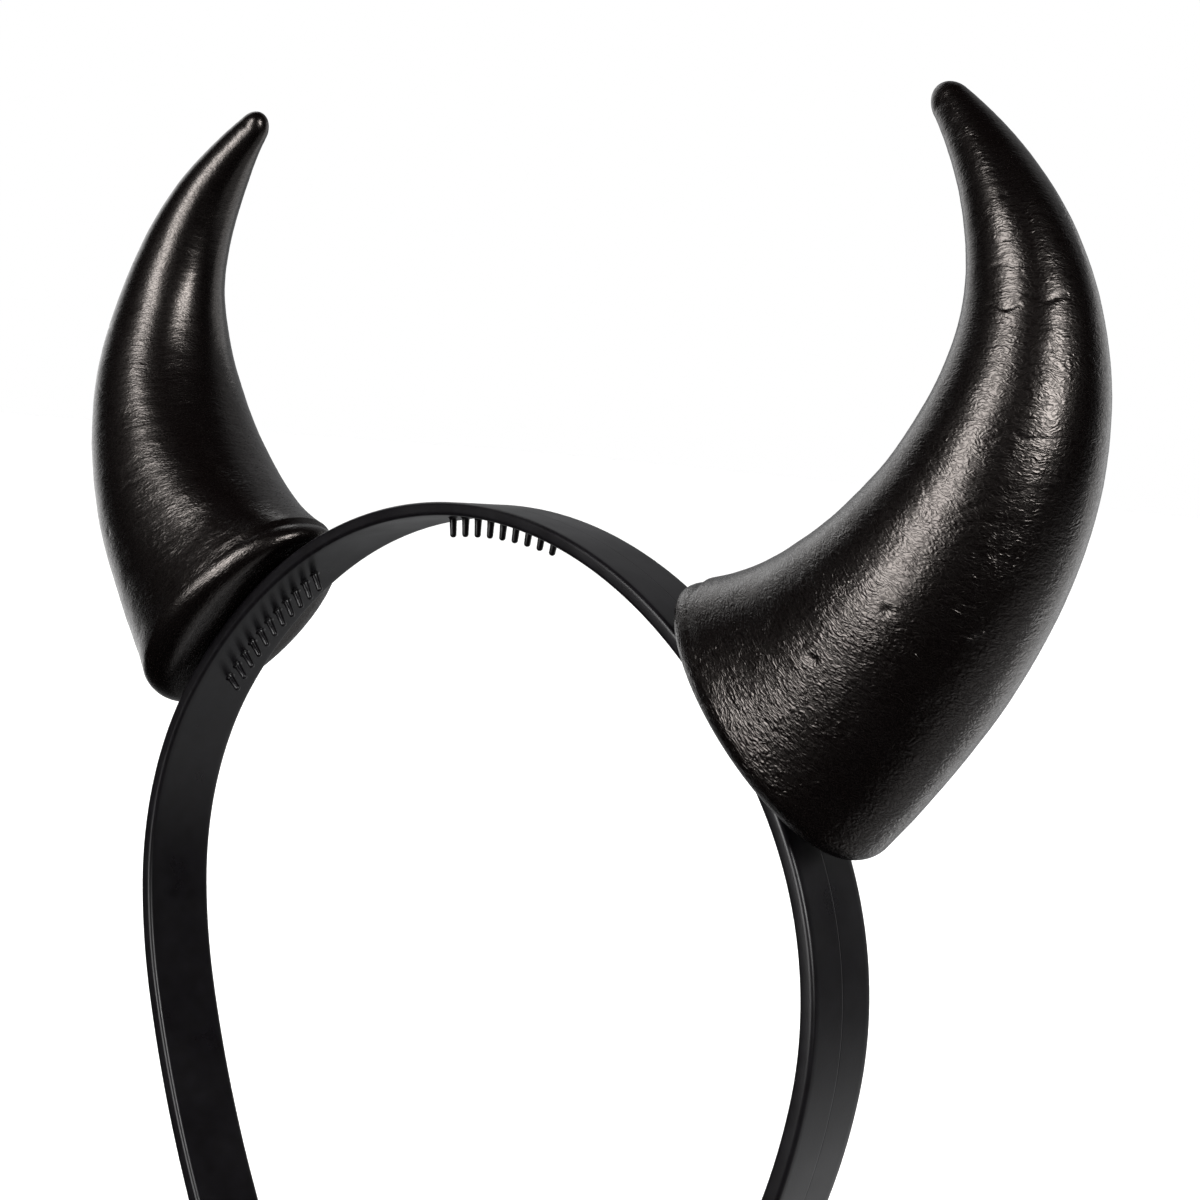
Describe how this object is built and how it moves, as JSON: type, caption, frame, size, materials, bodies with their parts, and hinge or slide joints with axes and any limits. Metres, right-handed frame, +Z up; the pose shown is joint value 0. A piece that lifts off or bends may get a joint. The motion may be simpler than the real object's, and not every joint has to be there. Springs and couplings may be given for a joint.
{
  "type": "devil horn headband",
  "caption": "Springy moulded hair band with comb pins inside and two curved leather-look devil horns on its outer face.",
  "frame": {"origin": "on the floor under the middle of the object's box, with the band standing on its two cut leg ends", "axes": "+Z up from the leg ends to the crown, +X to the wearer's left, +Y to the back of the head; the wearer looks along -Y"},
  "size_m": [0.1678, 0.0262, 0.1605],
  "materials": {
    "moulded_band": "satin black injection-moulded plastic",
    "foam_skin": "brownish black self-skinned foam with a fine leather-like wrinkle"
  },
  "bodies": {
    "root": {"headband": "moulded_band", "horn_left": "foam_skin", "horn_right": "foam_skin"}
  },
  "joints": []
}
